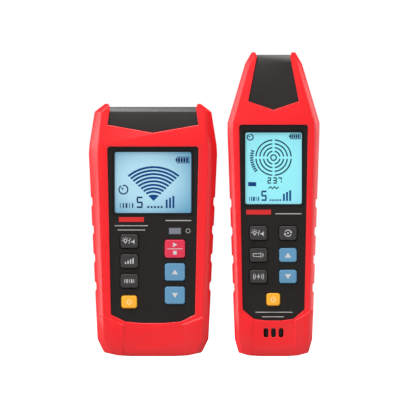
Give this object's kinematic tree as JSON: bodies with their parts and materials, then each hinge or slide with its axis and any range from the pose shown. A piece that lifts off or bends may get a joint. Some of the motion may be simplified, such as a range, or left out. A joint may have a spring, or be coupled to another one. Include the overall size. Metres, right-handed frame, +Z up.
{
  "type": "circuit breaker finder",
  "caption": "Circuit breaker finder set: a wide signal transmitter and a slim tapered receiver, rubber-skinned cases with display, keypad, battery door and lead sockets.",
  "frame": {"origin": "middle of the bounding box of the standing pair, on the plane both instruments stand on", "axes": "+Z up along both instruments, -Y is the way the displays and keypads face, +X from the transmitter to the receiver"},
  "size_m": [0.1474, 0.0352, 0.1942],
  "materials": {
    "red_rubber": "soft moulded, fine grain",
    "black_shell": "fine spark texture",
    "black_nose": "fine spark texture",
    "clear_lens": "polished",
    "lcd": "polished",
    "light_guide": "polished",
    "circuit_board": "solder mask",
    "silicone_mat": "moulded",
    "dark_key": "fine texture",
    "blue_key": "fine texture",
    "red_key": "fine texture",
    "orange_key": "fine texture",
    "black_part": "moulded",
    "smoked_window": "polished",
    "led_white": "polished",
    "collar_red": "moulded",
    "collar_black": "moulded",
    "brass": "turned",
    "battery_jacket": "satin",
    "snap_plate": "moulded",
    "steel": "zinc plated",
    "ferrite": "sintered",
    "copper_winding": "enamelled wire",
    "copper_foil": "rolled"
  },
  "bodies": {
    "transmitter": {"transmitter_front_overmould": "red_rubber", "transmitter_rear_overmould": "red_rubber", "transmitter_front_shell": "black_shell", "transmitter_rear_shell": "black_shell", "transmitter_head_cap": "black_nose", "transmitter_display_lens": "clear_lens", "transmitter_lcd_glass": "lcd", "transmitter_lcd_backlight": "light_guide", "transmitter_circuit_board": "circuit_board", "transmitter_keypad_mat": "silicone_mat", "transmitter_buzzer": "black_part", "transmitter_battery": "battery_jacket", "transmitter_battery_contacts": "snap_plate", "transmitter_door_insert": "brass", "transmitter_case_screws": "steel", "transmitter_indicator_window": "smoked_window", "transmitter_indicator_led": "led_white", "transmitter_socket_collar_red": "collar_red", "transmitter_socket_collar_black": "collar_black", "transmitter_socket_contacts": "brass"},
    "receiver": {"receiver_front_overmould": "red_rubber", "receiver_rear_overmould": "red_rubber", "receiver_front_shell": "black_shell", "receiver_rear_shell": "black_shell", "receiver_head_cap": "black_nose", "receiver_display_lens": "clear_lens", "receiver_lcd_glass": "lcd", "receiver_lcd_backlight": "light_guide", "receiver_circuit_board": "circuit_board", "receiver_keypad_mat": "silicone_mat", "receiver_buzzer": "black_part", "receiver_battery": "battery_jacket", "receiver_battery_contacts": "snap_plate", "receiver_door_insert": "brass", "receiver_case_screws": "steel", "receiver_torch_lens": "clear_lens", "receiver_torch_led": "led_white", "receiver_sensor_rod": "ferrite", "receiver_sensor_coil": "copper_winding", "receiver_antenna_plate": "copper_foil"},
    "transmitter_key_light": {"transmitter_key_light": "dark_key"},
    "transmitter_key_level": {"transmitter_key_level": "dark_key"},
    "transmitter_key_code": {"transmitter_key_code": "dark_key"},
    "transmitter_key_power": {"transmitter_key_power": "orange_key"},
    "transmitter_key_start_stop": {"transmitter_key_start_stop": "red_key"},
    "transmitter_key_up": {"transmitter_key_up": "blue_key"},
    "transmitter_key_down": {"transmitter_key_down": "blue_key"},
    "transmitter_door": {"transmitter_battery_door": "black_shell", "transmitter_door_screw": "steel"},
    "receiver_key_light": {"receiver_key_light": "dark_key"},
    "receiver_key_mode": {"receiver_key_mode": "dark_key"},
    "receiver_key_torch": {"receiver_key_torch": "dark_key"},
    "receiver_key_up": {"receiver_key_up": "blue_key"},
    "receiver_key_sense": {"receiver_key_sense": "dark_key"},
    "receiver_key_down": {"receiver_key_down": "blue_key"},
    "receiver_key_power": {"receiver_key_power": "orange_key"},
    "receiver_door": {"receiver_battery_door": "black_shell", "receiver_door_screw": "steel"}
  },
  "joints": [
    {"name": "receiver_lift", "type": "slide", "parent": "transmitter", "child": "receiver", "axis": [0, 0, 1], "range_m": [0, 0.17]},
    {"name": "transmitter_light_press", "type": "slide", "parent": "transmitter", "child": "transmitter_key_light", "axis": [0, 1, 0], "range_m": [0, 0.001], "stiffness_N_per_m": 1200},
    {"name": "transmitter_level_press", "type": "slide", "parent": "transmitter", "child": "transmitter_key_level", "axis": [0, 1, 0], "range_m": [0, 0.001], "stiffness_N_per_m": 1200},
    {"name": "transmitter_code_press", "type": "slide", "parent": "transmitter", "child": "transmitter_key_code", "axis": [0, 1, 0], "range_m": [0, 0.001], "stiffness_N_per_m": 1200},
    {"name": "transmitter_power_press", "type": "slide", "parent": "transmitter", "child": "transmitter_key_power", "axis": [0, 1, 0], "range_m": [0, 0.001], "stiffness_N_per_m": 1200},
    {"name": "transmitter_start_stop_press", "type": "slide", "parent": "transmitter", "child": "transmitter_key_start_stop", "axis": [0, 1, 0], "range_m": [0, 0.001], "stiffness_N_per_m": 1200},
    {"name": "transmitter_up_press", "type": "slide", "parent": "transmitter", "child": "transmitter_key_up", "axis": [0, 1, 0], "range_m": [0, 0.001], "stiffness_N_per_m": 1200},
    {"name": "transmitter_down_press", "type": "slide", "parent": "transmitter", "child": "transmitter_key_down", "axis": [0, 1, 0], "range_m": [0, 0.001], "stiffness_N_per_m": 1200},
    {"name": "transmitter_door_lift_off", "type": "slide", "parent": "transmitter", "child": "transmitter_door", "axis": [0, 1, 0], "range_m": [0, 0.025]},
    {"name": "receiver_light_press", "type": "slide", "parent": "receiver", "child": "receiver_key_light", "axis": [0, 1, 0], "range_m": [0, 0.001], "stiffness_N_per_m": 1200},
    {"name": "receiver_mode_press", "type": "slide", "parent": "receiver", "child": "receiver_key_mode", "axis": [0, 1, 0], "range_m": [0, 0.001], "stiffness_N_per_m": 1200},
    {"name": "receiver_torch_press", "type": "slide", "parent": "receiver", "child": "receiver_key_torch", "axis": [0, 1, 0], "range_m": [0, 0.001], "stiffness_N_per_m": 1200},
    {"name": "receiver_up_press", "type": "slide", "parent": "receiver", "child": "receiver_key_up", "axis": [0, 1, 0], "range_m": [0, 0.001], "stiffness_N_per_m": 1200},
    {"name": "receiver_sense_press", "type": "slide", "parent": "receiver", "child": "receiver_key_sense", "axis": [0, 1, 0], "range_m": [0, 0.001], "stiffness_N_per_m": 1200},
    {"name": "receiver_down_press", "type": "slide", "parent": "receiver", "child": "receiver_key_down", "axis": [0, 1, 0], "range_m": [0, 0.001], "stiffness_N_per_m": 1200},
    {"name": "receiver_power_press", "type": "slide", "parent": "receiver", "child": "receiver_key_power", "axis": [0, 1, 0], "range_m": [0, 0.001], "stiffness_N_per_m": 1200},
    {"name": "receiver_door_lift_off", "type": "slide", "parent": "receiver", "child": "receiver_door", "axis": [0, 1, 0], "range_m": [0, 0.025]}
  ]
}
